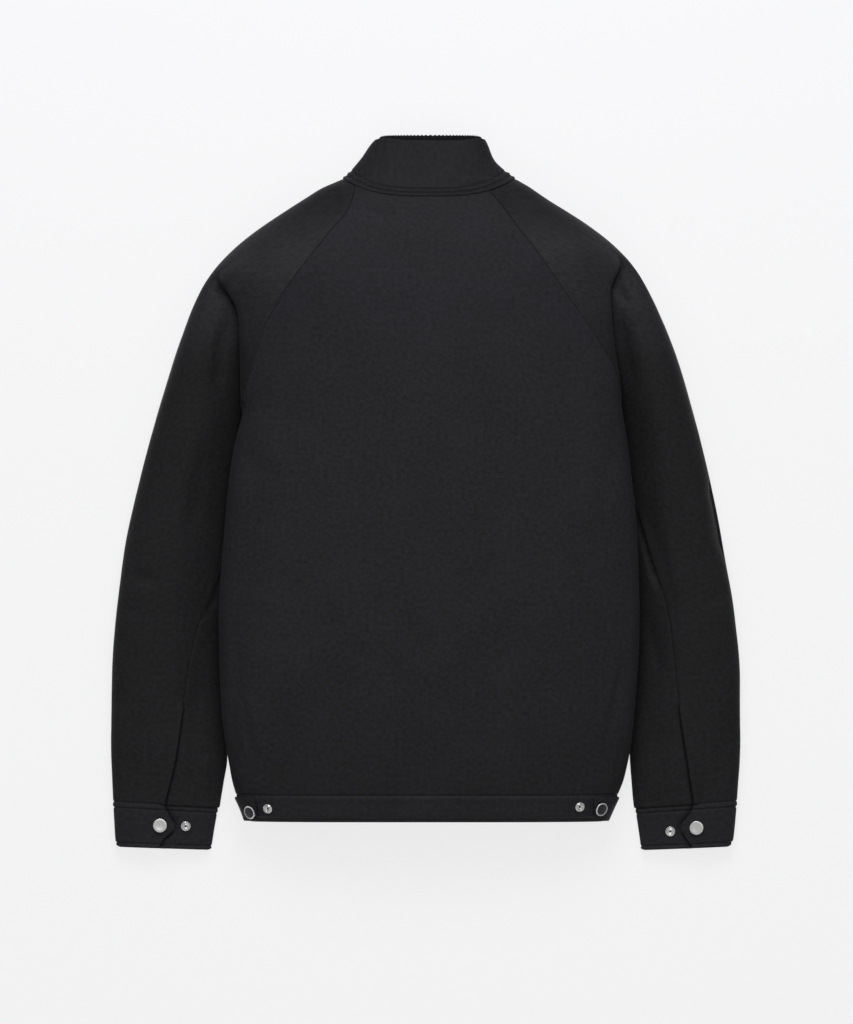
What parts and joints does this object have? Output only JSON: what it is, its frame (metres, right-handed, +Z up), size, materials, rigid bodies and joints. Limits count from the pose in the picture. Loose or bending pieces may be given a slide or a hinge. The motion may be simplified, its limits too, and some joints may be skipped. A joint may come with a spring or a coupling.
{
  "type": "bomber jacket",
  "caption": "Black bomber jacket with raglan sleeves, stand collar, front zip and snap tabs at cuffs and hem band, lying on its front, hollow and softly filled out.",
  "frame": {"origin": "middle of the jacket's outline as seen from above, at the level of the surface that it lies on", "axes": "+Z up from that surface, out of the jacket's back; +Y from the hem toward the collar; +X toward the wearer's right sleeve"},
  "size_m": [0.6802, 0.7706, 0.08],
  "materials": {
    "shell_cloth": "matte",
    "rib_knit": "matte",
    "zip_tape": "matte",
    "dark_metal": "satin",
    "nickel": "satin"
  },
  "bodies": {
    "jacket": {"back": "shell_cloth", "front_left": "shell_cloth", "front_right": "shell_cloth", "sleeve_upper_left": "shell_cloth", "sleeve_upper_right": "shell_cloth", "sleeve_under_left": "shell_cloth", "sleeve_under_right": "shell_cloth", "cuff_left": "shell_cloth", "cuff_right": "shell_cloth", "collar": "shell_cloth", "collar_facing": "rib_knit", "hem_back": "shell_cloth", "hem_front_left": "shell_cloth", "hem_front_right": "shell_cloth", "hem_tab_left": "shell_cloth", "hem_tab_right": "shell_cloth", "zip_tape_left": "zip_tape", "zip_tape_right": "zip_tape", "zip_chain": "dark_metal", "zip_slider": "dark_metal", "cap_cuff_left": "nickel", "cap_cuff_right": "nickel", "cap_hem_left": "nickel", "cap_hem_right": "nickel", "stud_cuff_left": "nickel", "stud_cuff_right": "nickel", "stud_hem_left": "nickel", "stud_hem_right": "nickel"},
    "zip_pull": {"zip_pull": "dark_metal"}
  },
  "joints": [
    {"name": "pull_swing", "type": "hinge", "parent": "jacket", "child": "zip_pull", "pos_m": [0.0029, 0.25505, 0.00355], "axis": [1, 0, 0], "range_deg": [0, 150]}
  ]
}
